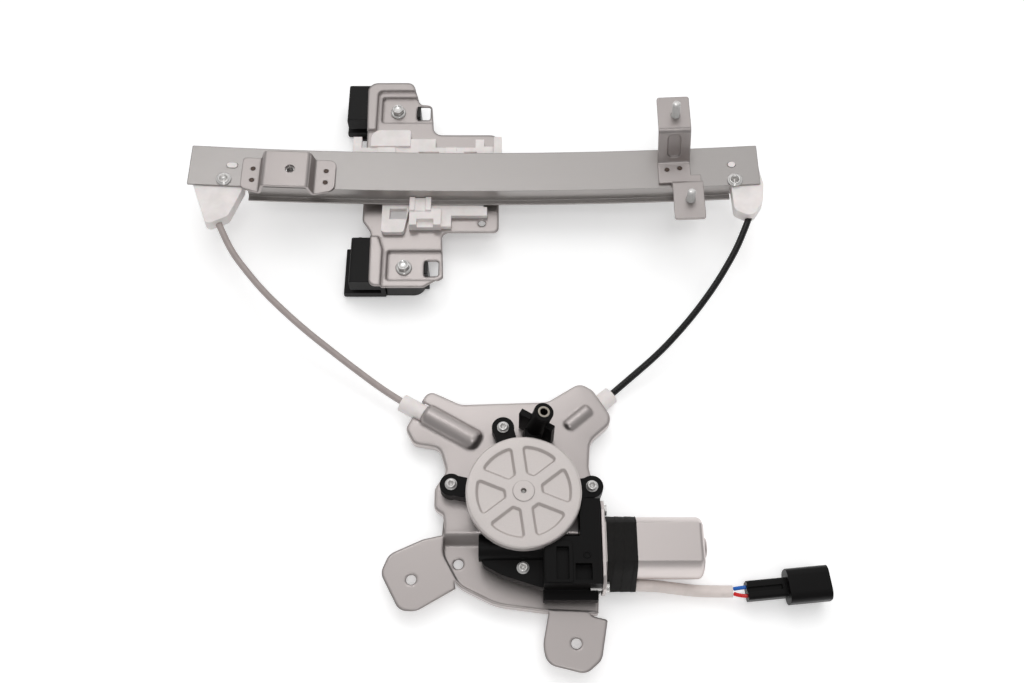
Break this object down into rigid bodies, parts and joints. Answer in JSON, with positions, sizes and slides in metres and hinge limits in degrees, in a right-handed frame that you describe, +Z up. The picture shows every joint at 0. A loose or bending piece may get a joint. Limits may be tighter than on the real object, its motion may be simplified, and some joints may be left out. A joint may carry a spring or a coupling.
{
  "type": "window regulator",
  "caption": "Cable-drive car window regulator: bowed guide rail with a sliding glass carrier, conduits, and a worm-gear motor on a pressed plate.",
  "frame": {"origin": "on the cable drum's axis, at the flat underside of the drum housing, on which the part rests", "axes": "+X along the guide rail towards the stud bracket, +Y from the drum towards the rail, +Z up along the drum's axis"},
  "size_m": [0.4422, 0.4522, 0.0872],
  "materials": {
    "rail_steel": "roll-formed zinc-plated steel, satin",
    "bracket_steel": "pressed zinc-plated steel, satin",
    "plate_steel": "pressed zinc-plated steel, satin",
    "carrier_steel": "pressed zinc-plated steel, satin",
    "fastener_zinc": "bright zinc plating",
    "cover_steel": "pressed steel with silver paint",
    "can_steel": "drawn zinc-plated steel",
    "inner_steel": "ground steel",
    "cable_steel": "stranded steel",
    "jaw_black": "black electrocoated steel",
    "pom_white": "moulded acetal, natural white",
    "conduit_grey": "extruded grey plastic jacket",
    "conduit_black": "extruded black plastic jacket",
    "housing_black": "moulded black glass-filled plastic",
    "drum_plastic": "moulded acetal",
    "grip_rubber": "moulded black rubber",
    "damper_rubber": "moulded rubber",
    "tape_black": "black cloth tape",
    "sleeve_grey": "soft plastic sleeving",
    "wire_blue": "blue wire insulation",
    "wire_red": "red wire insulation",
    "plug_black": "moulded black nylon",
    "plug_grey": "moulded grey nylon",
    "terminal_brass": "tinned brass",
    "insert_steel": "plated steel thread insert",
    "bush_bronze": "sintered bronze",
    "commutator_copper": "copper",
    "brush_carbon": "carbon",
    "magnet_ferrite": "ferrite",
    "core_laminated": "stacked laminations",
    "holder_plastic": "moulded brown-black plastic"
  },
  "bodies": {
    "frame": {"guide_rail": "rail_steel", "left_bracket": "bracket_steel", "left_bracket_nut": "fastener_zinc", "right_bracket": "bracket_steel", "bracket_studs": "fastener_zinc", "left_cable_guide": "pom_white", "right_cable_guide": "pom_white", "guide_rivets": "fastener_zinc", "left_conduit": "conduit_grey", "right_conduit": "conduit_black", "left_ferrule": "pom_white", "right_ferrule": "pom_white", "tension_spring": "inner_steel", "drive_cable": "cable_steel", "motor_plate": "plate_steel", "drum_housing": "housing_black", "gear_housing": "housing_black", "boss_insert": "insert_steel", "gear_cover": "cover_steel", "gearbox_screws": "fastener_zinc", "motor_can": "can_steel", "motor_screws": "fastener_zinc", "motor_tape": "tape_black", "magnets": "magnet_ferrite", "brush_holder": "holder_plastic", "brushes": "brush_carbon", "motor_bushes": "bush_bronze", "lead_sleeve": "sleeve_grey", "blue_wire": "wire_blue", "red_wire": "wire_red", "plug_body": "plug_black", "plug_insert": "plug_grey", "plug_terminals": "terminal_brass"},
    "carrier": {"carrier_plate": "carrier_steel", "cable_slider": "pom_white", "cable_nipples": "inner_steel", "upper_glass_grip": "grip_rubber", "lower_glass_grip": "grip_rubber", "upper_clamp_jaw": "jaw_black", "lower_clamp_jaw": "jaw_black", "clamp_bolts": "fastener_zinc", "clamp_nuts": "fastener_zinc"},
    "drum": {"cable_drum": "drum_plastic", "drum_windings": "cable_steel", "output_shaft": "inner_steel", "worm_wheel": "drum_plastic", "damper": "damper_rubber", "drive_plate": "inner_steel"},
    "armature": {"armature_shaft": "inner_steel", "armature_core": "core_laminated", "commutator": "commutator_copper"}
  },
  "joints": [
    {"name": "armature_spin", "type": "hinge", "parent": "frame", "child": "armature", "pos_m": [0.06, -0.03201, 0.024], "axis": [-1, 0, 0], "range_deg": [-11226, 29935]},
    {"name": "drum_spin", "type": "hinge", "parent": "frame", "child": "drum", "pos_m": [0, 0, 0.007], "axis": [0, 0, 1], "range_deg": [-154, 411]},
    {"name": "carrier_travel", "type": "hinge", "parent": "frame", "child": "carrier", "pos_m": [-0.035, 0.2482, 2.342], "axis": [0, -1, 0], "range_deg": [-1.5, 4]}
  ],
  "couplings": [
    {"joint": "drum_spin", "follows": "carrier_travel", "ratio": 102.51},
    {"joint": "armature_spin", "follows": "carrier_travel", "ratio": 7483.3}
  ]
}
